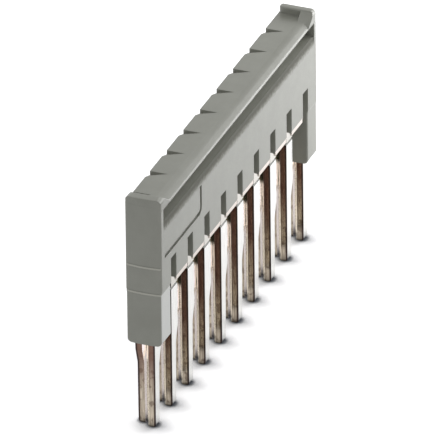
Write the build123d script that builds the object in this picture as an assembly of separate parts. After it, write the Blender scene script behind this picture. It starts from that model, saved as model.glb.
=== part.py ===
from build123d import *
import os

# Ten-pole plug-in jumper for rail-mounted terminal blocks: a thin moulded housing
# over two identical stamped combs that stand back to back in it, one of them turned
# half a turn about the vertical. Millimetres, +Z up. X runs along the row of pins and
# Y across the thickness; the origin is midway along the row, midway through the
# thickness, on the plane of the pin tips.

# row of poles
pitch = 3.5
pole_count = 10

# stamped comb
sheet_thickness = 0.80
comb_gap = 0.02
leg_width = 1.25
leg_tip_width = 0.78
leg_shoulder_width = 0.85
shoulder_top_z = 6.6
shoulder_bottom_z = 5.3
tip_chamfer = 0.12
tip_nose_radius = 0.22
seam_bevel = 0.24
tip_opening_height = 2.2
tip_opening_depth = 0.08
web_height = 3.0
web_end_inset = 0.15

# moulded housing, with its walls outside the combs
side_wall = 0.67
end_wall = 0.125
end_crown = 0.12
body_bottom_z = 11.83
body_edge_radius = 0.18
block_edge_radius = 0.20
moulding_clearance = 0.02

# end legs that sheath the outer pins
end_leg_bottom_z = 7.3
end_leg_setback = 0.06
end_leg_corner_radius = 0.35
end_leg_edge_radius = 0.12

# raised lips at both ends of the top
near_lip_length = 0.77
far_lip_length = 0.50
lip_height = 0.62
lip_corner_radius = 0.43
far_lip_back_radius = 0.25
lip_outer_radius = 0.12
lip_inner_radius = 0.14
lip_plan_radius = 0.40
lip_ramp_length = 1.20

# break-off notches across the top, one between each pair of poles
notch_wall_offset = 1.05
notch_length = 1.0
notch_depth = 0.35
notch_end_y = 0.0

# convex slope along the front of the top
slope_width = 1.1
slope_drop = 0.25
ridge_radius = 0.15

# finger groove along the front, under the top edge: a pocket, a sloping ledge below it
# and a rounded ramp that runs out on the front face
groove_end_inset = 0.5
groove_lip_height = 0.12
groove_depth = 0.80
groove_pocket_height = 1.03
groove_corner_radius = 0.30
groove_ledge_drop = 0.14
groove_ramp_depth = 0.08
groove_ramp_height = 0.75

# slots between the poles, open at the bottom, through both long sides
slot_width = 1.1
slot_height = 2.3
slot_to_web = 0.27

# outline of the marking field on the front
field_line_width = 0.36
field_line_depth = 0.20
field_end_inset = 0.7
field_length = 7.6
field_height = 2.26
field_above_slots = 0.82
field_corner_radius = 0.5

first_pole_x = -pitch * (pole_count - 1) / 2
pocket_half_thickness = comb_gap / 2 + sheet_thickness + moulding_clearance
half_thickness = pocket_half_thickness + side_wall
half_length = leg_width / 2 - first_pole_x + end_wall
slot_top_z = body_bottom_z + slot_height
web_bottom_z = slot_top_z + slot_to_web
web_top_z = web_bottom_z + web_height
# the inner face of an end leg is flush with the side of the first slot
end_leg_inner_x = -first_pole_x - pitch / 2 + slot_width / 2
# the front of the housing, from the slots upwards
field_bottom_z = slot_top_z + field_above_slots
groove_bottom_z = field_bottom_z + field_height
groove_ledge_z = groove_bottom_z + groove_ramp_height
groove_pocket_bottom_z = groove_ledge_z + groove_ledge_drop
groove_top_z = groove_pocket_bottom_z + groove_pocket_height
top_z = groove_top_z + groove_lip_height + slope_drop

# how far a cutter or a joined piece runs past the face that it works on
overcut = 1.0


def pole_x(index):
    return first_pole_x + pitch * index


def box_face(low, high):
    """A rectangle between two opposite corners."""
    return make_face(Polyline(low, (high[0], low[1]), high, (low[0], high[1]), close=True))


def corner_face(corner, first, second):
    """A triangle, from the corner that it cuts away or fills to its two other points."""
    return make_face(Polyline(corner, first, second, close=True))


def comb_face(clearance=0.0):
    """Outline of a comb in the XZ plane: one web across the top and a leg per pole."""
    left = pole_x(0) - leg_width / 2 + web_end_inset - clearance
    right = pole_x(pole_count - 1) + leg_width / 2 - web_end_inset + clearance
    web_bottom = web_bottom_z - clearance
    web_top = web_top_z + clearance
    face = box_face((left, web_bottom), (right, web_top))
    leg_top = (web_bottom_z + web_top_z) / 2 + clearance
    for index in range(pole_count):
        edge = pole_x(index) - leg_width / 2
        outline = Polyline(
            (edge - clearance, leg_top),
            (edge - clearance, tip_chamfer),
            (edge + tip_chamfer, 0),
            (edge + leg_tip_width - tip_chamfer, 0),
            (edge + leg_tip_width + clearance, tip_chamfer),
            (edge + leg_shoulder_width + clearance, shoulder_bottom_z),
            (edge + leg_width + clearance, shoulder_top_z),
            (edge + leg_width + clearance, leg_top),
            close=True,
        )
        face += make_face(outline)
    return face


def build_comb():
    """The comb on the front side: its sheet lies between the middle plane and -Y."""
    sheet = extrude(Plane.XZ * comb_face(), amount=sheet_thickness)
    comb = Pos(0, -comb_gap / 2, 0) * sheet
    # the sides of each leg are bevelled where they meet the other comb
    inner_edges = comb.edges().group_by(Axis.Y)[-1]
    leg_sides = [
        edge
        for edge in inner_edges
        if abs(edge.tangent_at(0.5).X) < 0.5 and tip_chamfer < edge.center().Z < web_bottom_z
    ]
    comb = chamfer(leg_sides, seam_bevel)
    # the inner faces lean away towards the tips, so each pair of legs opens like a fork
    inner_y = -comb_gap / 2
    opening = corner_face((inner_y, 0), (inner_y - tip_opening_depth, 0), (inner_y, tip_opening_height))
    comb -= extrude(Plane.YZ * opening, amount=half_length, both=True)
    noses = comb.edges().filter_by(Axis.X).group_by(Axis.Z)[0].group_by(Axis.Y)[0]
    return fillet(noses, tip_nose_radius)


def plan_outline(z, setback=0.0):
    """Plan of the housing at a height: straight long sides and slightly crowned ends."""
    x = half_length
    y = half_thickness - setback
    front = Line((-x, -y), (x, -y))
    right = ThreePointArc((x, -y), (x + end_crown, 0), (x, y))
    back = Line((x, y), (-x, y))
    left = ThreePointArc((-x, y), (-x - end_crown, 0), (-x, -y))
    return Pos(0, 0, z) * make_face(front + right + back + left)


def beyond(x, side):
    """A block that holds all that lies further out than x on one side."""
    reach = 4 * half_length
    return Pos(side * (x + reach / 2), 0, 0) * Box(reach, reach, reach)


def end_leg(side):
    """The part of the crowned outline beyond the inner face of an end leg, below the body."""
    outline = plan_outline(end_leg_bottom_z, end_leg_setback)
    column = extrude(outline, amount=body_bottom_z + overcut - end_leg_bottom_z)
    leg = column & beyond(end_leg_inner_x, side)
    inner_edges = leg.edges().filter_by(Axis.Z).group_by(Axis.X)[0 if side > 0 else -1]
    leg = fillet(inner_edges, end_leg_edge_radius)
    lower_corners = leg.edges().group_by(Axis.Z)[0].filter_by(Axis.X)
    return fillet(lower_corners, end_leg_corner_radius)


def end_lip(side):
    """A raised bar across the top at one end; along the front slope a ramp runs up to it."""
    bottom_z = top_z - overcut
    lip_top_z = top_z + lip_height
    inner_x = half_length - (far_lip_length if side > 0 else near_lip_length)
    section = box_face((inner_x, bottom_z), (half_length + end_crown, lip_top_z))
    upper_corners = section.vertices().group_by(Axis.Y)[-1].sort_by(Axis.X)
    section = fillet(upper_corners[0], lip_inner_radius)
    outer_corner = section.vertices().group_by(Axis.Y)[-1].sort_by(Axis.X)[-1]
    section = fillet(outer_corner, lip_outer_radius)
    bar = extrude(Plane.XZ * section, amount=half_thickness, both=True)
    plan = box_face((inner_x, -half_thickness), (half_length + overcut, half_thickness))
    plan = fillet(plan.vertices().group_by(Axis.X)[0].sort_by(Axis.Y)[-1], lip_plan_radius)
    bar &= Pos(0, 0, bottom_z) * extrude(plan, amount=lip_top_z - bottom_z)
    ramp = make_face(
        Polyline(
            (inner_x - lip_ramp_length, bottom_z),
            (inner_x - lip_ramp_length, top_z - slope_drop),
            (inner_x + lip_inner_radius, lip_top_z),
            (half_length, lip_top_z),
            (half_length, bottom_z),
            close=True,
        )
    )
    bar += Pos(0, slope_width - half_thickness, 0) * extrude(Plane.XZ * ramp, amount=slope_width)
    end_view = box_face((-half_thickness, bottom_z), (half_thickness, lip_top_z))
    front_corner = end_view.vertices().group_by(Axis.Y)[-1].sort_by(Axis.X)[0]
    end_view = fillet(front_corner, lip_corner_radius)
    back_corner = end_view.vertices().group_by(Axis.Y)[-1].sort_by(Axis.X)[-1]
    end_view = fillet(back_corner, far_lip_back_radius if side > 0 else lip_corner_radius)
    bar &= extrude(Plane.YZ * end_view, amount=half_length + overcut)
    column = extrude(plan_outline(bottom_z), amount=lip_top_z - bottom_z)
    bar &= fillet(column.edges().filter_by(Axis.Z), body_edge_radius)
    return bar if side > 0 else mirror(bar, about=Plane.YZ)


def notch_profile(wall_x, depth):
    """Saw-tooth section of a notch that runs a little above the top: a ramp, then a wall facing -X."""
    slope = notch_depth / notch_length
    above = notch_depth
    return make_face(
        Polyline(
            (wall_x - (depth + above) / slope, top_z + above),
            (wall_x, top_z - depth),
            (wall_x, top_z + above),
            close=True,
        )
    )


def notch_cutter(index):
    """A saw-tooth notch, deepest at the back edge and running out on the top."""
    wall_x = pole_x(index) + notch_wall_offset
    back_plane = Plane(origin=(0, half_thickness, 0), x_dir=(1, 0, 0), z_dir=(0, -1, 0))
    end_plane = Plane(origin=(0, notch_end_y, 0), x_dir=(1, 0, 0), z_dir=(0, -1, 0))
    back = back_plane * notch_profile(wall_x, notch_depth)
    end = end_plane * notch_profile(wall_x, 0)
    return loft(Sketch() + [back, end], ruled=True)


def finger_groove_cutter():
    """Undercut below the top edge, returning to the front face by a ledge and a rounded ramp."""
    face_y = -half_thickness
    deep_y = face_y + groove_depth
    ledge_edge = (face_y + groove_ramp_depth, groove_ledge_z)
    ramp_end = (face_y, groove_bottom_z)
    pocket = Polyline(
        (face_y - overcut, groove_bottom_z),
        (face_y - overcut, groove_top_z),
        (deep_y, groove_top_z),
        (deep_y, groove_pocket_bottom_z),
        ledge_edge,
    )
    ramp = TangentArc(ramp_end, ledge_edge, tangent=(0, 1))
    profile = make_face(pocket + ramp + Line(ramp_end, (face_y - overcut, groove_bottom_z)))
    inner_corner = profile.vertices().group_by(Axis.X)[-1].sort_by(Axis.Y)[0]
    profile = fillet(inner_corner, groove_corner_radius)
    return extrude(Plane.YZ * profile, amount=half_length - groove_end_inset, both=True)


def marking_field(grow):
    """The marking field in the XZ plane, grown past its line, with one rounded corner."""
    left = -half_length + field_end_inset
    field = box_face((left, field_bottom_z - grow), (left + field_length + grow, groove_bottom_z))
    lower_right = field.vertices().group_by(Axis.Y)[0].sort_by(Axis.X)[-1]
    return fillet(lower_right, field_corner_radius + grow)


def marking_line_cutter():
    """A fine line that bounds the marking field below and on its +X side."""
    outline = marking_field(field_line_width / 2) - marking_field(-field_line_width / 2)
    line = extrude(Plane.XZ * outline, amount=field_line_depth + overcut)
    return Pos(0, -half_thickness + field_line_depth, 0) * line


def build_housing():
    body = extrude(plan_outline(body_bottom_z), amount=top_z - body_bottom_z)
    body = fillet(body.edges().filter_by(Axis.Z), body_edge_radius)

    # slope along the front of the top
    slope_start = (-half_thickness, top_z - slope_drop)
    slope_end = (-half_thickness + slope_width, top_z)
    slope_arc = TangentArc(slope_end, slope_start, tangent=(-1, 0))
    slope = make_face(Polyline(slope_start, (-half_thickness, top_z), slope_end) + slope_arc)
    body -= extrude(Plane.YZ * slope, amount=half_length + overcut, both=True)
    ridge = body.edges().filter_by(Axis.X).group_by(Axis.Y)[0].sort_by(Axis.Z)[-1]
    body = fillet(ridge, ridge_radius)

    body -= finger_groove_cutter()
    for index in range(pole_count - 1):
        body -= notch_cutter(index)
        slot_x = pole_x(index) + pitch / 2
        slot = Box(slot_width, 2 * (half_thickness + overcut), 2 * slot_height)
        body -= Pos(slot_x, 0, body_bottom_z) * slot
    body -= marking_line_cutter()
    lower_edges = body.edges().group_by(Axis.Z)[0]
    block_edges = [edge for edge in lower_edges if abs(edge.center().X) < end_leg_inner_x]
    body = fillet(block_edges, block_edge_radius)

    for side in (-1, 1):
        body += end_lip(side)
        body += end_leg(side)

    # the plastic is moulded round the combs
    pocket = extrude(Plane.XZ * comb_face(moulding_clearance), amount=pocket_half_thickness)
    body -= pocket
    body -= pocket.rotate(Axis.Z, 180)
    return body


os.makedirs("parts", exist_ok=True)

front_comb = build_comb()
back_comb = front_comb.rotate(Axis.Z, 180)
housing = build_housing()

export_step(housing, "parts/housing.step")
export_step(front_comb, "parts/front_comb.step")
export_step(back_comb, "parts/back_comb.step")
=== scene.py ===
import math

import bmesh
import bpy
from mathutils import Matrix, Vector


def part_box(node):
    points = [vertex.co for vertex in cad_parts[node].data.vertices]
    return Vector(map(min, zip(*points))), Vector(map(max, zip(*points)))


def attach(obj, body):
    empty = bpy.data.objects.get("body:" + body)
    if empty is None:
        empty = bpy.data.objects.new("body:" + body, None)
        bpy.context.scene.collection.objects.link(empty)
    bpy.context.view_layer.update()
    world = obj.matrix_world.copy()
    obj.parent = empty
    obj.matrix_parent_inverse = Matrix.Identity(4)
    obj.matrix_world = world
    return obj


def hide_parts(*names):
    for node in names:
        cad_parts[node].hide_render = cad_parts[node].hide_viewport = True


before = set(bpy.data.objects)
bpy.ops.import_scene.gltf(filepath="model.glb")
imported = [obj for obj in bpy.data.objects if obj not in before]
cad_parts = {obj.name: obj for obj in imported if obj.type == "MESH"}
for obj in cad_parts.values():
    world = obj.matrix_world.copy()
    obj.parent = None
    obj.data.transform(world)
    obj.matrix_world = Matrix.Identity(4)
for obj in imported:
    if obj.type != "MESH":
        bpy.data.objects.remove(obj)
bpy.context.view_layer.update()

# Ten-pole plug-in jumper for rail-mounted terminal blocks. Lengths below are in millimetres
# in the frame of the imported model: X along the row of pins, -Y the front, Z up from the pin
# tips. Meshes are built in millimetres and brought to metres as the last step.
MM = 0.001


def box_mm(node):
    low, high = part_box(node)
    return [value / MM for value in low], [value / MM for value in high]


housing_low, housing_high = box_mm("housing")
comb_low, comb_high = box_mm("front_comb")

# row of poles
pitch = 3.5
pole_count = 10
first_pole_x = -pitch * (pole_count - 1) / 2

# stamped comb
sheet_thickness = comb_high[1] - comb_low[1]
comb_inner_y = comb_high[1]
leg_width = 1.25
leg_tip_width = 0.78
leg_shoulder_width = 0.85
shoulder_top_z = 6.6
shoulder_bottom_z = 5.3
guide_bump = 0.04
guide_bump_z = 7.15
guide_bump_height = 0.5
guide_bump_radius = 0.3
shoulder_bottom_radius = 1.2
shoulder_top_radius = 0.5
tip_nose_radius = 0.25
tip_opening_height = 2.2
tip_opening_depth = 0.08
tip_opening_radius = 0.1
seam_relief = 0.24
seam_closed_z = 8.9
web_height = 3.0
web_end_inset = 0.15
score_z = 10.43
score_height = 0.24
score_depth = 0.14
comb_edge_radius = 0.03

# moulded housing
half_thickness = housing_high[1]
end_crown = 0.12
half_length = housing_high[0] - end_crown
lip_height = 0.62
top_z = housing_high[2] - lip_height
body_bottom_z = 11.83
body_edge_radius = 0.18
moulding_edge_radius = 0.07
slot_width = 1.1
slot_to_web = 0.27
slot_top_z = 14.13
slot_corner_radius = 0.08
block_edge_radius = 0.24
block_near_corner_radius = 0.12
block_corner_reach = 0.2
flash_drop = 0.17
flash_top = 0.18
flash_inset = 0.02
flash_far_inset = 0.08
flash_width = 0.25
ridge_radius = 0.28
pocket_clearance = 0.02

end_leg_bottom_z = housing_low[2]
end_leg_top_z = 12.4
end_leg_setback = 0.06
end_leg_corner_radius = 0.38
end_leg_edge_radius = 0.12
end_leg_inner_x = -first_pole_x - pitch / 2 + slot_width / 2

near_lip_length = 0.77
far_lip_length = 0.50
lip_corner_radius = 0.43
far_lip_back_radius = 0.25
lip_outer_radius = 0.12
lip_inner_radius = 0.14
lip_foot_depth = 0.05
lip_plan_radius = 0.4
lip_ramp_length = 1.2
notch_wall_offset = 1.05
notch_length = 1.0
notch_depth = 0.35
notch_end_y = 0.0
slope_width = 1.1
slope_drop = 0.25

groove_end_inset = 0.5
groove_lip_height = 0.12
groove_depth = 0.80
groove_pocket_height = 1.03
groove_ledge_drop = 0.14
groove_ramp_depth = 0.08
groove_ramp_height = 0.75
groove_top_radius = 0.28
groove_floor_radius = 0.12
groove_ledge_radius = 0.1
groove_top_z = top_z - slope_drop - groove_lip_height
groove_floor_z = groove_top_z - groove_pocket_height
groove_ledge_z = groove_floor_z - groove_ledge_drop
groove_bottom_z = groove_ledge_z - groove_ramp_height

field_line_width = 0.36
field_line_depth = 0.20
field_end_inset = 0.7
field_length = 7.6
field_bottom_z = 14.95
field_corner_radius = 0.5

witness_height = 0.16
witness_proud = 0.04

# camera of the photograph: degrees, and millimetres for the distance and the width of the frame
camera_azimuth = -68.25
camera_elevation = 29.08
camera_roll = -0.665
camera_distance = 1500.0
camera_frame_width = 34.142
camera_target = (-0.523, 0.0, 9.901)
sensor_width = 36.0

# how far a cutter runs past the face that it works on, and how far a joined piece stands back
overcut = 1.0
join_step = 0.006

# how finely curves are divided, and how many rays soften the edges and the contact shadow
arc_steps = 8
crown_steps = 10
edge_samples = 6
contact_samples = 12


def pole_x(index):
    return first_pole_x + pitch * index


# meshes, in millimetres

def mesh_object(name, work):
    """An object from a bmesh, which is freed."""
    bmesh.ops.recalc_face_normals(work, faces=work.faces)
    mesh = bpy.data.meshes.new(name)
    work.to_mesh(mesh)
    work.free()
    piece = bpy.data.objects.new(name, mesh)
    bpy.context.scene.collection.objects.link(piece)
    return piece


def add_prism(work, outline, start, end, place):
    """A closed prism over a flat outline; place turns (a, b, along) into a point."""
    rings = []
    for along in (start, end):
        rings.append([work.verts.new(place(a, b, along)) for a, b in outline])
    count = len(outline)
    work.faces.new(rings[0])
    work.faces.new(list(reversed(rings[1])))
    for index in range(count):
        follower = (index + 1) % count
        work.faces.new((rings[0][index], rings[1][index], rings[1][follower], rings[0][follower]))


def prism(name, outlines, start, end, place):
    work = bmesh.new()
    for outline in outlines:
        add_prism(work, outline, start, end, place)
    return mesh_object(name, work)


def along_x(a, b, along):
    return Vector((along, a, b))


def along_y(a, b, along):
    return Vector((a, along, b))


def along_z(a, b, along):
    return Vector((a, b, along))


def rounded(points, radii, steps=6):
    """The closed outline through points, with an arc of its own radius at each corner."""
    outline = []
    count = len(points)
    for index, radius in enumerate(radii):
        corner = Vector(points[index])
        if radius == 0:
            outline.append(tuple(corner))
            continue
        back = (Vector(points[index - 1]) - corner).normalized()
        ahead = (Vector(points[(index + 1) % count]) - corner).normalized()
        half = back.angle(ahead) / 2
        centre = corner + (back + ahead).normalized() * radius / math.sin(half)
        first = corner + back * radius / math.tan(half) - centre
        last = corner + ahead * radius / math.tan(half) - centre
        turn = first.angle_signed(last)
        for step in range(steps + 1):
            angle = turn * step / steps
            arm = Matrix.Rotation(-angle, 2) @ first
            outline.append(tuple(centre + arm))
    return outline


def arc_between(start, end, bulge, steps):
    """Points of a shallow arc from start to end, bulging to the left of its chord."""
    start = Vector(start)
    end = Vector(end)
    chord = end - start
    left = Vector((-chord.y, chord.x)).normalized()
    radius = (chord.length ** 2 / 4 + bulge ** 2) / (2 * bulge)
    centre = (start + end) / 2 + left * (bulge - radius)
    half = math.asin(chord.length / 2 / radius)
    middle = math.atan2(left.y, left.x)
    points = []
    for step in range(steps + 1):
        angle = middle + half - 2 * half * step / steps
        points.append((centre.x + radius * math.cos(angle), centre.y + radius * math.sin(angle)))
    return points


def combine(piece, tool, operation):
    modifier = piece.modifiers.new("combine", "BOOLEAN")
    modifier.operation = operation
    modifier.solver = "EXACT"
    modifier.object = tool
    evaluated = piece.evaluated_get(bpy.context.evaluated_depsgraph_get())
    shaped = bpy.data.meshes.new_from_object(evaluated)
    piece.modifiers.clear()
    piece.data = shaped
    bpy.data.objects.remove(tool)


def finish_mesh(piece):
    """Joins flat faces, brings the mesh to metres and smooths it; the materials round its edges."""
    weld_distance = 0.0005
    flat_angle = math.radians(0.5)
    sharp_angle = math.radians(35)
    large_face_weight = 90
    work = bmesh.new()
    work.from_mesh(piece.data)
    bmesh.ops.remove_doubles(work, verts=work.verts, dist=weld_distance)
    bmesh.ops.dissolve_limit(work, angle_limit=flat_angle, verts=work.verts, edges=work.edges)
    work.to_mesh(piece.data)
    work.free()
    piece.data.transform(Matrix.Scale(MM, 4))
    for face in piece.data.polygons:
        face.use_smooth = True
    piece.data.set_sharp_from_angle(angle=sharp_angle)
    weights = piece.modifiers.new("flat faces", "WEIGHTED_NORMAL")
    weights.keep_sharp = True
    weights.weight = large_face_weight


# housing

def plan_outline(setback, end_setback=0.0):
    """Plan of the housing, with crowned ends and rounded corners."""
    x = half_length - end_setback
    y = half_thickness - setback
    corner = body_edge_radius - setback
    right = arc_between((x, y), (x, -y), end_crown, crown_steps)
    left = arc_between((-x, -y), (-x, y), end_crown, crown_steps)
    points = right + left
    ends = {0, len(right) - 1, len(right), len(points) - 1}
    radii = [corner if index in ends else 0 for index in range(len(points))]
    return rounded(points, radii)


def front_slope():
    """Convex slope along the front of the top: from the flat down to the ridge, then round it."""
    radius = (slope_width ** 2 + slope_drop ** 2) / (2 * slope_drop)
    meeting = math.asin((slope_width - ridge_radius) / (radius - ridge_radius))
    ridge_z = top_z - radius + (radius - ridge_radius) * math.cos(meeting)
    points = []
    for step in range(arc_steps + 1):
        angle = meeting * step / arc_steps
        y = slope_width - half_thickness - radius * math.sin(angle)
        points.append((y, top_z - radius + radius * math.cos(angle)))
    for step in range(1, arc_steps + 1):
        angle = meeting + (math.pi / 2 - meeting) * step / arc_steps
        y = ridge_radius - half_thickness - ridge_radius * math.sin(angle)
        points.append((y, ridge_z + ridge_radius * math.cos(angle)))
    return points


def housing_body():
    """The body in plan, cut to its section: rounded lower edges, a slope and a soft ridge in front."""
    body = prism("housing_shell", [plan_outline(0)], body_bottom_z - overcut, top_z + overcut, along_z)
    corners = [(-half_thickness, body_bottom_z), (half_thickness, body_bottom_z), (half_thickness, top_z)]
    corners += front_slope()
    radii = [block_edge_radius, block_edge_radius] + [0] * (len(corners) - 2)
    section = rounded(corners, radii)
    reach = half_length + overcut
    combine(body, prism("section", [section], -reach, reach, along_x), "INTERSECT")
    return body


def finger_groove():
    """Pocket under the top edge, a ledge below it and a rounded ramp back to the front face."""
    face_y = -half_thickness
    radius = (groove_ramp_height ** 2 + groove_ramp_depth ** 2) / (2 * groove_ramp_depth)
    sweep = math.asin(groove_ramp_height / radius)
    ramp = []
    for step in range(arc_steps + 1):
        angle = sweep * (1 - step / arc_steps)
        y = face_y + radius * (1 - math.cos(angle))
        ramp.append((y, groove_bottom_z + radius * math.sin(angle)))
    deep_y = face_y + groove_depth
    corners = [(face_y - overcut, groove_top_z), (deep_y, groove_top_z), (deep_y, groove_floor_z)]
    outline = corners + ramp + [(face_y - overcut, groove_bottom_z)]
    radii = [0, groove_top_radius, groove_floor_radius, groove_ledge_radius] + [0] * (arc_steps + 1)
    end_x = half_length - groove_end_inset
    return prism("groove", [rounded(outline, radii, steps=4)], -end_x, end_x, along_x)


def break_notches():
    """Saw-tooth notches between the poles, deepest at the back edge, running out on the top."""
    work = bmesh.new()
    back_y = half_thickness + overcut
    back_depth = notch_depth * (back_y - notch_end_y) / (half_thickness - notch_end_y)
    for index in range(pole_count - 1):
        wall_x = pole_x(index) + notch_wall_offset
        rings = []
        for y, depth in ((back_y, back_depth), (notch_end_y, 0.0)):
            back_x = wall_x - (depth + notch_depth) * notch_length / notch_depth
            corners = [
                (back_x, top_z + notch_depth),
                (wall_x, top_z - depth),
                (wall_x, top_z + notch_depth),
            ]
            rings.append([work.verts.new((x, y, z)) for x, z in corners])
        work.faces.new(rings[0])
        work.faces.new(rings[1])
        for side in range(3):
            follower = (side + 1) % 3
            work.faces.new((rings[0][side], rings[1][side], rings[1][follower], rings[0][follower]))
    return mesh_object("notches", work)


def pole_slots():
    """Slots between the blocks, open downwards, through both long sides."""
    outlines = []
    low = body_bottom_z - overcut
    # the lower corners of the neighbouring blocks are rounded, the ones that face -X less
    mouth = [block_edge_radius, slot_corner_radius, slot_corner_radius, block_near_corner_radius]
    radii = [0, 0] + mouth + [0, 0]
    for index in range(pole_count - 1):
        middle = pole_x(index) + pitch / 2
        left = middle - slot_width / 2
        right = middle + slot_width / 2
        outer_left = left - block_edge_radius - block_corner_reach
        outer_right = right + block_edge_radius + block_corner_reach
        outline = [
            (outer_left, low),
            (outer_left, body_bottom_z),
            (left, body_bottom_z),
            (left, slot_top_z),
            (right, slot_top_z),
            (right, body_bottom_z),
            (outer_right, body_bottom_z),
            (outer_right, low),
        ]
        outlines.append(rounded(outline, radii))
    return prism("slots", outlines, -half_thickness - overcut, half_thickness + overcut, along_y)


def field_line():
    """The fine line below and beside the marking field."""
    left = -half_length + field_end_inset
    right = left + field_length
    half = field_line_width / 2
    edges = []
    for shift in (half, -half):
        low = field_bottom_z - shift
        corners = [(left, low), (right + shift, low), (right + shift, groove_bottom_z)]
        edges.append(rounded(corners, [0, field_corner_radius + shift, 0]))
    outline = edges[0] + list(reversed(edges[1]))
    front_y = -half_thickness - overcut
    return prism("line", [outline], front_y, -half_thickness + field_line_depth, along_y)


def end_lip(side):
    """Raised bar across the top at one end; along the front slope a ramp runs up to it."""
    top = top_z + lip_height
    foot = top_z - slope_drop - lip_foot_depth
    inner_x = half_length - (far_lip_length if side > 0 else near_lip_length)
    outer_x = half_length + end_crown
    section = rounded(
        [(inner_x, foot), (outer_x, foot), (outer_x, top), (inner_x, top)],
        [0, 0, lip_outer_radius, lip_inner_radius],
    )
    section = [(side * x, z) for x, z in section]
    bar = prism("lip", [section], -half_length, half_length, along_y)
    plan = rounded(
        [(inner_x, -half_thickness), (half_length + overcut, -half_thickness),
         (half_length + overcut, half_thickness), (inner_x, half_thickness)],
        [0, 0, 0, lip_plan_radius],
    )
    plan = [(side * x, y) for x, y in plan]
    combine(bar, prism("plan", [plan], 0, top + overcut, along_z), "INTERSECT")
    ramp = [
        (inner_x - lip_ramp_length, foot),
        (inner_x - lip_ramp_length, top_z - slope_drop),
        (inner_x + lip_inner_radius, top - join_step),
        (half_length, top - join_step),
        (half_length, foot),
    ]
    ramp = [(side * x, z) for x, z in ramp]
    ramp_end_y = slope_width - half_thickness
    combine(bar, prism("ramp", [ramp], -half_thickness, ramp_end_y, along_y), "UNION")
    profile = rounded(
        [(-half_thickness, foot), (half_thickness, foot), (half_thickness, top), (-half_thickness, top)],
        [0, 0, far_lip_back_radius if side > 0 else lip_corner_radius, lip_corner_radius],
    )
    reach = half_length + overcut
    combine(bar, prism("end view", [profile], -reach, reach, along_x), "INTERSECT")
    outline = plan_outline(join_step, join_step)
    combine(bar, prism("outline", [outline], 0, top + overcut, along_z), "INTERSECT")
    return bar


def end_leg(side):
    """Sheath of an outer pin, set back from the body, with rounded lower corners."""
    y = half_thickness - end_leg_setback
    profile = rounded(
        [(-y, end_leg_bottom_z), (y, end_leg_bottom_z), (y, end_leg_top_z), (-y, end_leg_top_z)],
        [end_leg_corner_radius, end_leg_corner_radius, 0, 0],
    )
    leg = prism("leg", [profile], side * end_leg_inner_x, side * (half_length + overcut), along_x)
    outer_x = half_length + overcut
    plan = rounded(
        [(end_leg_inner_x, -y), (outer_x, -y), (outer_x, y), (end_leg_inner_x, y)],
        [end_leg_edge_radius, 0, 0, end_leg_edge_radius],
    )
    plan = [(side * x, y) for x, y in plan]
    column = prism("plan", [plan], 0, top_z, along_z)
    combine(leg, column, "INTERSECT")
    outline = plan_outline(end_leg_setback, 2 * join_step)
    combine(leg, prism("outline", [outline], 0, top_z, along_z), "INTERSECT")
    return leg


def witness_line(z, side):
    """Fine raised line that the mould's inserts leave across an end face."""
    y = half_thickness - body_edge_radius / 2
    x = half_length + witness_proud
    outer = arc_between((x, y), (x, -y), end_crown, crown_steps)
    outline = outer + [(half_length - overcut, -y), (half_length - overcut, y)]
    outline = [(side * x, y) for x, y in outline]
    return prism("witness", [outline], z - witness_height / 2, z + witness_height / 2, along_z)


def lower_flash():
    """Thin skirt of flash that hangs from the lower edges of the blocks, on both long sides."""
    work = bmesh.new()
    outer_y = half_thickness - flash_inset
    inner_y = outer_y - flash_width
    low = body_bottom_z - flash_drop
    high = body_bottom_z + flash_top
    for index in range(1, pole_count - 1):
        left = pole_x(index) - pitch / 2 + slot_width / 2 + flash_inset
        right = pole_x(index) + pitch / 2 - slot_width / 2 - flash_far_inset
        for side in (-1, 1):
            outline = [(side * outer_y, low), (side * outer_y, high), (side * inner_y, high)]
            outline.append((side * (outer_y - flash_width / 2), low))
            add_prism(work, outline, left, right, along_x)
    return mesh_object("flash", work)


def pin_pockets():
    """Openings in the blocks round the pins, on both sides of the seam."""
    outlines = []
    for index in range(pole_count):
        middle = pole_x(index)
        low = middle - leg_width / 2 - pocket_clearance
        high = middle + leg_width / 2 + pocket_clearance
        outlines.append([(low, 0), (high, 0), (high, slot_top_z), (low, slot_top_z)])
    reach = sheet_thickness - comb_inner_y + pocket_clearance
    return prism("pockets", outlines, -reach, reach, along_y)


def build_housing():
    body = housing_body()
    combine(body, finger_groove(), "DIFFERENCE")
    combine(body, break_notches(), "DIFFERENCE")
    combine(body, pole_slots(), "DIFFERENCE")
    combine(body, field_line(), "DIFFERENCE")
    for side in (-1, 1):
        combine(body, end_lip(side), "UNION")
        combine(body, end_leg(side), "UNION")
        combine(body, witness_line(slot_top_z, side), "UNION")
        combine(body, witness_line(body_bottom_z, side), "UNION")
    combine(body, lower_flash(), "UNION")
    combine(body, pin_pockets(), "DIFFERENCE")
    finish_mesh(body)
    return body


# stamped combs

def leg_outline(middle, inset):
    """Outline of one leg in the plane of the sheet, its sides moved in by the inset."""
    left = middle - leg_width / 2 + inset
    right = middle - leg_width / 2 - inset
    top = slot_top_z + web_height / 2
    points = [
        (left, -overcut),
        (right + leg_tip_width, -overcut),
        (right + leg_shoulder_width, shoulder_bottom_z),
        (right + leg_width, shoulder_top_z),
        (right + leg_width + guide_bump, guide_bump_z),
        (right + leg_width, guide_bump_z + guide_bump_height),
        (right + leg_width, top),
        (left, top),
    ]
    shoulder = [shoulder_bottom_radius, shoulder_top_radius]
    return rounded(points, [0, 0] + shoulder + [guide_bump_radius, guide_bump_radius, 0, 0])


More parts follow.
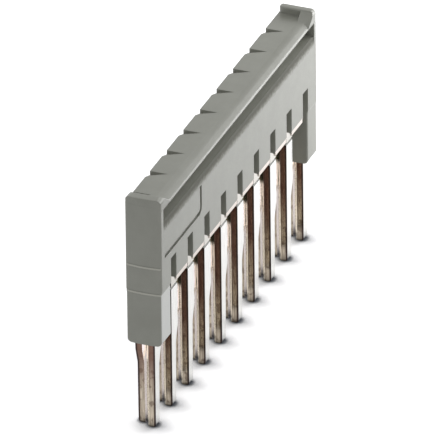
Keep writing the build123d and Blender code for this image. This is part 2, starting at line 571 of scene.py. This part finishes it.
def build_legs(name, front_y):
    """Legs of the comb, the edges of their inner faces bevelled where they meet the other comb."""
    work = bmesh.new()
    for index in range(pole_count):
        middle = pole_x(index)
        rings = []
        for y, inset in ((front_y, 0), (comb_inner_y - seam_relief, 0), (comb_inner_y, seam_relief)):
            rings.append([work.verts.new((x, y, z)) for x, z in leg_outline(middle, inset)])
        work.faces.new(rings[0])
        work.faces.new(rings[-1])
        count = len(rings[0])
        for first, second in zip(rings, rings[1:]):
            for corner in range(count):
                follower = (corner + 1) % count
                work.faces.new((first[corner], second[corner], second[follower], first[follower]))
    return mesh_object(name, work)


def comb_section(front_y):
    """Section of the sheet across its thickness: a rounded nose, the opening and the scored line."""
    half_score = score_height / 2
    top = slot_top_z + 2 * web_height
    points = [
        (front_y, 0),
        (comb_inner_y - tip_opening_depth, 0),
        (comb_inner_y, tip_opening_height),
        (comb_inner_y, top),
        (front_y, top),
        (front_y, score_z + half_score),
        (front_y + score_depth, score_z),
        (front_y, score_z - half_score),
    ]
    return rounded(points, [tip_nose_radius, tip_opening_radius] + [0] * (len(points) - 2))


def build_comb(name):
    """The comb on the front side of the seam, one web with a leg under each pole."""
    front_y = comb_inner_y - sheet_thickness
    comb = build_legs(name, front_y)
    left = pole_x(0) - leg_width / 2 + web_end_inset
    right = -left
    low = slot_top_z + slot_to_web
    high = low + web_height
    outline = [(left, low), (right, low), (right, high), (left, high)]
    combine(comb, prism("web", [outline], front_y, comb_inner_y, along_y), "UNION")
    section = comb_section(front_y)
    combine(comb, prism("section", [section], -half_length, half_length, along_x), "INTERSECT")
    finish_mesh(comb)
    return comb


# materials

def linear(code):
    """An sRGB hex colour as linear RGBA."""
    values = []
    for start in (0, 2, 4):
        share = int(code[start:start + 2], 16) / 255
        values.append(share / 12.92 if share <= 0.04045 else ((share + 0.055) / 1.055) ** 2.4)
    return (*values, 1.0)


def add_node(tree, kind, links=None, inputs=None, **settings):
    """Adds a node; inputs sets socket values, links joins sockets to other nodes' outputs."""
    node = tree.nodes.new(kind)
    for key, value in settings.items():
        setattr(node, key, value)
    for key, value in (inputs or {}).items():
        node.inputs[key].default_value = value
    for key, output in (links or {}).items():
        tree.links.new(output, node.inputs[key])
    return node


def new_material(name):
    material = bpy.data.materials.new(name)
    material.use_nodes = True
    material.node_tree.nodes.clear()
    return material, material.node_tree


def two_tones(ramp, low, low_colour, high, high_colour):
    """Sets a colour ramp: one colour up to the low value and the other from the high value on."""
    first, last = ramp.color_ramp.elements
    first.position = low
    first.color = linear(low_colour)
    last.position = high
    last.color = linear(high_colour)


def end_witness(tree, point, outward):
    """Share of the witness lines that the mould's inserts leave across the end faces."""
    margin = 0.02
    at_end = add_node(tree, "ShaderNodeMath", {0: outward.outputs["Value"]},
                      {1: (half_length - margin) * MM}, operation="GREATER_THAN")
    upper = add_node(tree, "ShaderNodeMath", {0: point.outputs["Z"]},
                     {1: slot_top_z * MM, 2: witness_height / 2 * MM}, operation="COMPARE")
    lower = add_node(tree, "ShaderNodeMath", {0: point.outputs["Z"]},
                     {1: body_bottom_z * MM, 2: witness_height / 2 * MM}, operation="COMPARE")
    either = add_node(tree, "ShaderNodeMath", {0: upper.outputs["Value"], 1: lower.outputs["Value"]},
                      operation="ADD")
    return add_node(tree, "ShaderNodeMath", {0: either.outputs["Value"], 1: at_end.outputs["Value"]},
                    operation="MULTIPLY")


def near_leg_highlight(tree, point, long_side, below):
    """Share of the near end leg's long sides, which are painted paler than the body: a painted highlight."""
    leg_side = add_node(tree, "ShaderNodeMath",
                        {0: long_side.outputs["Value"], 1: below.outputs["Value"]}, operation="MULTIPLY")
    near_end = add_node(tree, "ShaderNodeMath", {0: point.outputs["X"]}, {1: 0.0}, operation="LESS_THAN")
    return add_node(tree, "ShaderNodeMath",
                    {0: leg_side.outputs["Value"], 1: near_end.outputs["Value"]}, operation="MULTIPLY")


def skirt_highlight(tree, point, outward, long_side, below):
    """Share of the thin skirt of flash along the lower edges of the blocks, painted cream: a painted
    highlight where these edges catch light.
    """
    reach = flash_drop * 1.2
    skirt = add_node(tree, "ShaderNodeMath", {0: point.outputs["Z"]},
                     {1: body_bottom_z * MM, 2: reach * MM}, operation="COMPARE")
    between = add_node(tree, "ShaderNodeMath", {0: outward.outputs["Value"]}, {1: end_leg_inner_x * MM},
                       operation="LESS_THAN")
    skirt = add_node(tree, "ShaderNodeMath", {0: skirt.outputs["Value"], 1: between.outputs["Value"]},
                     operation="MULTIPLY")
    outside = add_node(tree, "ShaderNodeMath", {0: long_side.outputs["Value"], 1: below.outputs["Value"]},
                       operation="MAXIMUM")
    return add_node(tree, "ShaderNodeMath", {0: skirt.outputs["Value"], 1: outside.outputs["Value"]},
                    operation="MULTIPLY")


def groove_shade_strip(tree, place, point, outward):
    """Share of the ramp under the finger groove that is painted darker, as painted shade below the
    overhanging top edge, and made matt: ragged, and fading downwards.
    """
    shade_edge_size = 0.25
    raggedness = 0.9
    fade_start_z = groove_ledge_z - 0.45
    fade_end_z = groove_ledge_z + 0.25
    groove_margin = 0.2
    shade_edge_noise = add_node(tree, "ShaderNodeTexNoise", {"Vector": place.outputs["Object"]},
                       {"Scale": 1 / (shade_edge_size * MM), "Detail": 3.0, "Roughness": 0.7})
    ragged = add_node(tree, "ShaderNodeMath", {0: shade_edge_noise.outputs["Fac"], 2: point.outputs["Z"]},
                      {1: raggedness * MM}, operation="MULTIPLY_ADD")
    dull = add_node(tree, "ShaderNodeMapRange", {"Value": ragged.outputs["Value"]},
                    {"From Min": fade_start_z * MM, "From Max": fade_end_z * MM},
                    interpolation_type="SMOOTHSTEP")
    # the strip ends just behind the front face, on the ledge, and above at the pocket
    front_y = 0.05 - half_thickness
    ledge_y = 0.25 - half_thickness
    in_front = add_node(tree, "ShaderNodeMapRange", {"Value": point.outputs["Y"]},
                        {"From Min": front_y * MM, "From Max": ledge_y * MM, "To Min": 1.0, "To Max": 0.0})
    under_groove = add_node(tree, "ShaderNodeMath", {0: point.outputs["Z"]},
                            {1: (groove_ledge_z + groove_margin) * MM}, operation="LESS_THAN")
    within = add_node(tree, "ShaderNodeMath", {0: outward.outputs["Value"]},
                      {1: (half_length - groove_end_inset) * MM}, operation="LESS_THAN")
    strip = add_node(tree, "ShaderNodeMath",
                     {0: in_front.outputs["Result"], 1: under_groove.outputs["Value"]}, operation="MULTIPLY")
    strip = add_node(tree, "ShaderNodeMath", {0: strip.outputs["Value"], 1: within.outputs["Value"]},
                     operation="MULTIPLY")
    return add_node(tree, "ShaderNodeMath", {0: strip.outputs["Value"], 1: dull.outputs["Result"]},
                    operation="MULTIPLY")


def moulded_polyamide():
    """Light grey polyamide from a mould with a fine spark-machined texture: satin and softly mottled, with
    painted highlights on the near end leg and along the lower edges of the blocks, and painted shade on the
    ramp under the finger groove.
    """
    material, tree = new_material("moulded grey polyamide")
    place = add_node(tree, "ShaderNodeTexCoord")
    shape = add_node(tree, "ShaderNodeNewGeometry")
    point = add_node(tree, "ShaderNodeSeparateXYZ", {"Vector": place.outputs["Object"]})
    outward = add_node(tree, "ShaderNodeMath", {0: point.outputs["X"]}, operation="ABSOLUTE")
    normal = add_node(tree, "ShaderNodeSeparateXYZ", {"Vector": shape.outputs["True Normal"]})
    sideways = add_node(tree, "ShaderNodeMath", {0: normal.outputs["Y"]}, operation="ABSOLUTE")
    side_limit = 0.8
    long_side = add_node(tree, "ShaderNodeMath", {0: sideways.outputs["Value"]}, {1: side_limit},
                         operation="GREATER_THAN")
    below = add_node(tree, "ShaderNodeMath", {0: point.outputs["Z"]}, {1: body_bottom_z * MM},
                     operation="LESS_THAN")
    # the pigment lies in soft clouds
    mottle_size = 1.6
    mottle = add_node(tree, "ShaderNodeTexNoise", {"Vector": place.outputs["Object"]},
                      {"Scale": 1 / (mottle_size * MM), "Detail": 4.0, "Roughness": 0.6})
    tone = add_node(tree, "ShaderNodeValToRGB", {"Fac": mottle.outputs["Fac"]})
    two_tones(tone, 0.35, "87887f", 0.65, "8c8d84")
    # the witness lines are paler; the near end leg's long sides and the lower edges of the blocks are
    # painted paler, from grey to cream, as painted highlights; the ramp under the groove is painted darker,
    # as painted shade
    groove_shade = groove_shade_strip(tree, place, point, outward)
    layers = [
        (end_witness(tree, point, outward), "adada2"),
        (near_leg_highlight(tree, point, long_side, below), "c0c2be"),
        (skirt_highlight(tree, point, outward, long_side, below), "eee2d8"),
        (groove_shade, "5e5e55"),
    ]
    # sockets 6 and 7 of a colour mix are its two colours, and output 2 is its result
    colour = tone.outputs["Color"]
    for share, layer_colour in layers:
        layer = add_node(tree, "ShaderNodeMix", {0: share.outputs["Value"], 6: colour},
                         {7: linear(layer_colour)}, data_type="RGBA")
        colour = layer.outputs[2]
    # the grain of the mould makes the surface satin, and the ramp under the finger groove is matt
    grain_size = 0.12
    grain_depth = 0.010
    smoothest = 0.28
    roughest = 0.36
    matt_ramp_roughness = 0.9
    grain = add_node(tree, "ShaderNodeTexNoise", {"Vector": place.outputs["Object"]},
                     {"Scale": 1 / (grain_size * MM), "Detail": 2.0})
    satin = add_node(tree, "ShaderNodeMapRange", {"Value": grain.outputs["Fac"]},
                     {"From Min": 0.3, "From Max": 0.7, "To Min": smoothest, "To Max": roughest})
    # sockets 2 and 3 of a number mix are its two values, and output 0 is its result
    rough = add_node(tree, "ShaderNodeMix", {0: groove_shade.outputs["Value"], 2: satin.outputs["Result"]},
                     {3: matt_ramp_roughness}, data_type="FLOAT")
    edges = add_node(tree, "ShaderNodeBevel", None, {"Radius": moulding_edge_radius * MM},
                     samples=edge_samples)
    bump = add_node(tree, "ShaderNodeBump",
                    {"Height": grain.outputs["Fac"], "Normal": edges.outputs["Normal"]},
                    {"Strength": 0.2, "Distance": grain_depth * MM})
    polyamide_ior = 1.53
    shader = add_node(tree, "ShaderNodeBsdfPrincipled",
                      {"Base Color": colour, "Roughness": rough.outputs[0],
                       "Normal": bump.outputs["Normal"]},
                      {"IOR": polyamide_ior})
    add_node(tree, "ShaderNodeOutputMaterial", {"Surface": shader.outputs["BSDF"]})
    return material


def cut_copper(tree, place, point, streaks):
    """Colour of the bare copper on the cut edges: pitted, painted darker upwards as shade under the housing,
    and darker at the rim.
    """
    copper = add_node(tree, "ShaderNodeValToRGB", {"Fac": streaks.outputs["Fac"]})
    two_tones(copper, 0.35, "928779", 0.65, "c2b6a4")
    # the punch leaves small dull pits
    pit_size = 0.45
    spots = add_node(tree, "ShaderNodeTexNoise", {"Vector": place.outputs["Object"]},
                     {"Scale": 1 / (pit_size * MM), "Detail": 2.0})
    pitted = add_node(tree, "ShaderNodeMapRange", {"Value": spots.outputs["Fac"]},
                      {"From Min": 0.54, "From Max": 0.62, "To Max": 0.7})
    cut = add_node(tree, "ShaderNodeMix", {0: pitted.outputs["Result"], 6: copper.outputs["Color"]},
                   {7: linear("6a5c50")}, data_type="RGBA")
    # towards the moulding the bare copper is painted a darker, redder brown: painted shade under the housing
    shade_start_z = 2.5
    shade_full_z = 6.0
    shade_share = 0.9
    housing_shade = add_node(tree, "ShaderNodeMapRange", {"Value": point.outputs["Z"]},
                       {"From Min": shade_start_z * MM, "From Max": shade_full_z * MM,
                        "To Max": shade_share})
    cut = add_node(tree, "ShaderNodeMix", {0: housing_shade.outputs["Result"], 6: cut.outputs[2]},
                   {7: linear("674c42")}, data_type="RGBA")
    # the cut edge turns dark towards its outer rim
    rim_start = sheet_thickness - 0.18
    rim_full = sheet_thickness - 0.11
    outward = add_node(tree, "ShaderNodeMath", {0: point.outputs["Y"]}, operation="ABSOLUTE")
    rim = add_node(tree, "ShaderNodeMapRange", {"Value": outward.outputs["Value"]},
                   {"From Min": rim_start * MM, "From Max": rim_full * MM})
    return add_node(tree, "ShaderNodeMix", {0: rim.outputs["Result"], 6: cut.outputs[2]},
                    {7: linear("3c302e")}, data_type="RGBA")


def tinned_face(tree, point, streaks):
    """Colour of the broad faces: streaked tin, darker above the scored line, with painted shade in the line.
    """
    tin = add_node(tree, "ShaderNodeValToRGB", {"Fac": streaks.outputs["Fac"]})
    two_tones(tin, 0.3, "cbcbc8", 0.7, "dfdedb")
    # above the scored line the tin is darker
    above_score = add_node(tree, "ShaderNodeMath", {0: point.outputs["Z"]}, {1: score_z * MM},
                       operation="GREATER_THAN")
    broad = add_node(tree, "ShaderNodeMix", {0: above_score.outputs["Value"], 6: tin.outputs["Color"]},
                     {7: linear("bcb9b2")}, data_type="RGBA")
    # the scored line is painted dark: painted shade in its crease
    scored = add_node(tree, "ShaderNodeMath", {0: point.outputs["Z"]},
                      {1: score_z * MM, 2: score_height / 2 * MM}, operation="COMPARE")
    return add_node(tree, "ShaderNodeMix", {0: scored.outputs["Value"], 6: broad.outputs[2]},
                    {7: linear("3a3a38")}, data_type="RGBA")


def seam_highlight_and_shade(tree, point, slant):
    """Colour of the bevels along the seam: a painted highlight where the pin is forked, painted shade where
    it is closed.
    """
    # of the two bevels on a pin, one gets a creamier painted highlight
    creamier = add_node(tree, "ShaderNodeMath", {0: slant.outputs["Value"]}, {1: 0.0},
                       operation="LESS_THAN")
    seam = add_node(tree, "ShaderNodeMix", {0: creamier.outputs["Value"]},
                    {6: linear("f2e8e6"), 7: linear("f4ead6")}, data_type="RGBA")
    # above where the seam closes, the bevels are painted dark olive: painted shade in the closed seam
    fade = 0.4
    closed = add_node(tree, "ShaderNodeMapRange", {"Value": point.outputs["Z"]},
                      {"From Min": (seam_closed_z - fade) * MM, "From Max": seam_closed_z * MM})
    return add_node(tree, "ShaderNodeMix", {0: closed.outputs["Result"], 6: seam.outputs[2]},
                    {7: linear("5a5442")}, data_type="RGBA")


def tinned_copper():
    """Copper strip, hot-dip tinned before stamping: bright drawn faces, bare copper on the cut edges."""
    material, tree = new_material("stamped tinned copper strip")
    place = add_node(tree, "ShaderNodeTexCoord")
    shape = add_node(tree, "ShaderNodeNewGeometry")
    point = add_node(tree, "ShaderNodeSeparateXYZ", {"Vector": place.outputs["Object"]})
    normal = add_node(tree, "ShaderNodeSeparateXYZ", {"Vector": shape.outputs["True Normal"]})
    # rolling streaks run down the legs, about a tenth of a millimetre apart
    streak_width = 0.09
    streak_share = 0.06
    stretch = add_node(tree, "ShaderNodeMapping", {"Vector": place.outputs["Object"]},
                       {"Scale": (1.0, 1.0, streak_share)})
    streaks = add_node(tree, "ShaderNodeTexNoise", {"Vector": stretch.outputs["Vector"]},
                       {"Scale": 1 / (streak_width * MM), "Detail": 3.0})
    # cut edges face along the row, broad faces across it, and the bevels between the two
    cut_limit = 0.85
    bevel_limit = 0.2
    sideways = add_node(tree, "ShaderNodeMath", {0: normal.outputs["X"]}, operation="ABSOLUTE")
    flat_side = add_node(tree, "ShaderNodeMath", {0: sideways.outputs["Value"]}, {1: cut_limit},
                         operation="GREATER_THAN")
    slant = add_node(tree, "ShaderNodeMath", {0: normal.outputs["X"], 1: normal.outputs["Y"]},
                     operation="MULTIPLY")
    tilt = add_node(tree, "ShaderNodeMath", {0: slant.outputs["Value"]}, operation="ABSOLUTE")
    bevel = add_node(tree, "ShaderNodeMath", {0: tilt.outputs["Value"]}, {1: bevel_limit},
                     operation="GREATER_THAN")
    broad = tinned_face(tree, point, streaks)
    seam = seam_highlight_and_shade(tree, point, slant)
    bevelled = add_node(tree, "ShaderNodeMix",
                        {0: bevel.outputs["Value"], 6: broad.outputs[2], 7: seam.outputs[2]},
                        data_type="RGBA")
    cut = cut_copper(tree, place, point, streaks)
    colour = add_node(tree, "ShaderNodeMix",
                      {0: flat_side.outputs["Value"], 6: bevelled.outputs[2], 7: cut.outputs[2]},
                      data_type="RGBA")
    smoothest = 0.16
    roughest = 0.26
    streak_depth = 0.006
    rough = add_node(tree, "ShaderNodeMapRange", {"Value": streaks.outputs["Fac"]},
                     {"From Min": 0.3, "From Max": 0.7, "To Min": smoothest, "To Max": roughest})
    edges = add_node(tree, "ShaderNodeBevel", None, {"Radius": comb_edge_radius * MM},
                     samples=edge_samples)
    bump = add_node(tree, "ShaderNodeBump",
                    {"Height": streaks.outputs["Fac"], "Normal": edges.outputs["Normal"]},
                    {"Strength": 0.15, "Distance": streak_depth * MM})
    shader = add_node(tree, "ShaderNodeBsdfPrincipled",
                      {"Base Color": colour.outputs[2], "Roughness": rough.outputs["Result"],
                       "Normal": bump.outputs["Normal"]},
                      {"Metallic": 1.0})
    add_node(tree, "ShaderNodeOutputMaterial", {"Surface": shader.outputs["BSDF"]})
    return material


def seen_rays(tree):
    """Share of the rays that show a surface as such: from the camera, mirrored or let through."""
    paths = add_node(tree, "ShaderNodeLightPath")
    seen = add_node(tree, "ShaderNodeMath",
                    {0: paths.outputs["Is Camera Ray"], 1: paths.outputs["Is Glossy Ray"]},
                    operation="MAXIMUM")
    return add_node(tree, "ShaderNodeMath",
                    {0: seen.outputs["Value"], 1: paths.outputs["Is Transmission Ray"]},
                    operation="MAXIMUM")


def white_sweep():
    """Matt white paper under the object; seen directly or in a reflection it also glows a little, and a
    contact shadow is painted into its glow and its colour.
    """
    material, tree = new_material("white paper sweep")
    seen = seen_rays(tree)
    # painted contact shadow: the glow fades where the object stands close, more so on the side away from the
    # rear lamp
    contact = 1.8
    contact_power = 1.8
    leaning = add_node(tree, "ShaderNodeCombineXYZ", None, {"X": 0.35, "Y": 0.55, "Z": 0.76})
    open_share = add_node(tree, "ShaderNodeAmbientOcclusion", {"Normal": leaning.outputs["Vector"]},
                          {"Distance": contact * MM}, samples=contact_samples)
    fading = add_node(tree, "ShaderNodeMath", {0: open_share.outputs["AO"]}, {1: contact_power},
                      operation="POWER")
    # and is gone right where a pin touches the paper, the darkest part of the painted contact shadow
    touch = 0.35
    touch_power = 3.0
    close_share = add_node(tree, "ShaderNodeAmbientOcclusion", None, {"Distance": touch * MM},
                           samples=contact_samples)
    touching = add_node(tree, "ShaderNodeMath", {0: close_share.outputs["AO"]}, {1: touch_power},
                        operation="POWER")
    fading = add_node(tree, "ShaderNodeMath", {0: fading.outputs["Value"], 1: touching.outputs["Value"]},
                      operation="MULTIPLY")
    glow_strength = 0.5
    level = add_node(tree, "ShaderNodeMath", {0: fading.outputs["Value"]}, {1: glow_strength},
                     operation="MULTIPLY")
    glow = add_node(tree, "ShaderNodeMath", {0: seen.outputs["Value"], 1: level.outputs["Value"]},
                    operation="MULTIPLY")
    light = add_node(tree, "ShaderNodeEmission", {"Strength": glow.outputs["Value"]},
                     {"Color": linear("ffffff")})
    # the paper's own colour is painted darker and bluer in the same places: painted contact shadow
    tone = add_node(tree, "ShaderNodeMix", {0: fading.outputs["Value"]},
                    {6: linear("55585e"), 7: linear("f4f4f6")}, data_type="RGBA")
    paper = add_node(tree, "ShaderNodeBsdfDiffuse", {"Color": tone.outputs[2]})
    both = add_node(tree, "ShaderNodeAddShader",
                    {0: light.outputs["Emission"], 1: paper.outputs["BSDF"]})
    add_node(tree, "ShaderNodeOutputMaterial", {"Surface": both.outputs["Shader"]})
    return material


# scene

def build_floor():
    reach = 3000.0
    work = bmesh.new()
    corners = [(-reach, -reach, 0), (reach, -reach, 0), (reach, reach, 0), (-reach, reach, 0)]
    work.faces.new([work.verts.new(corner) for corner in corners])
    floor = mesh_object("floor", work)
    floor.data.transform(Matrix.Scale(MM, 4))
    floor.data.materials.append(white_sweep())


def direction(azimuth, elevation):
    """From the object to a place at an azimuth and elevation, where azimuth 0 is on the -Y side."""
    a = math.radians(azimuth)
    e = math.radians(elevation)
    return Vector((math.sin(a) * math.cos(e), -math.cos(a) * math.cos(e), math.sin(e)))


def facing(place, target):
    """Rotation of a lamp or camera at a place so that it looks at the target."""
    return (Vector(target) - Vector(place)).to_track_quat("-Z", "Y").to_matrix().to_4x4()


def build_camera():
    target = Vector(camera_target) * MM
    place = target + direction(camera_azimuth, camera_elevation) * camera_distance * MM
    camera = bpy.data.objects.new("camera", bpy.data.cameras.new("camera"))
    camera.data.sensor_width = sensor_width
    camera.data.lens = sensor_width * camera_distance / camera_frame_width
    roll = Matrix.Rotation(math.radians(camera_roll), 4, "Z")
    camera.matrix_world = Matrix.Translation(place) @ facing(place, target) @ roll
    bpy.context.scene.collection.objects.link(camera)
    bpy.context.scene.camera = camera


def softbox(name, azimuth, elevation, distance, size, power):
    """A square area lamp that looks at the middle of the object; its power is in watts."""
    target = Vector(camera_target) * MM
    place = target + direction(azimuth, elevation) * distance * MM
    lamp = bpy.data.lights.new(name, "AREA")
    lamp.size = size * MM
    lamp.energy = power
    holder = bpy.data.objects.new(name, lamp)
    holder.matrix_world = Matrix.Translation(place) @ facing(place, target)
    bpy.context.scene.collection.objects.link(holder)


def build_world():
    """A white room: full white to the eye and in mirrors, and a softer light on everything."""
    fill_level = 0.55
    world = bpy.data.worlds.new("white studio")
    world.use_nodes = True
    tree = world.node_tree
    tree.nodes.clear()
    seen = seen_rays(tree)
    level = add_node(tree, "ShaderNodeMapRange", {"Value": seen.outputs["Value"]},
                     {"To Min": fill_level, "To Max": 1.0})
    background = add_node(tree, "ShaderNodeBackground", {"Strength": level.outputs["Result"]},
                          {"Color": linear("ffffff")})
    add_node(tree, "ShaderNodeOutputWorld", {"Surface": background.outputs["Background"]})
    bpy.context.scene.world = world


plastic = moulded_polyamide()
metal = tinned_copper()

housing = build_housing()
housing.data.materials.clear()
housing.data.materials.append(plastic)
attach(housing, "root")
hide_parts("housing")

for name, turn in (("front_comb", 0), ("back_comb", math.pi)):
    comb = build_comb(name + "_strip")
    comb.data.transform(Matrix.Rotation(turn, 4, "Z"))
    comb.data.materials.clear()
    comb.data.materials.append(metal)
    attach(comb, "root")
    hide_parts(name)

build_floor()
build_camera()
# the ridge of the housing mirrors the first lamp and the slope the second; the third is behind
softbox("front right", azimuth=63, elevation=14.5, distance=76, size=42, power=0.034)
softbox("end right", azimuth=84, elevation=36, distance=110, size=36, power=0.010)
softbox("behind", azimuth=165, elevation=50, distance=900, size=300, power=1.1)
build_world()
bpy.context.scene.view_settings.view_transform = "Standard"
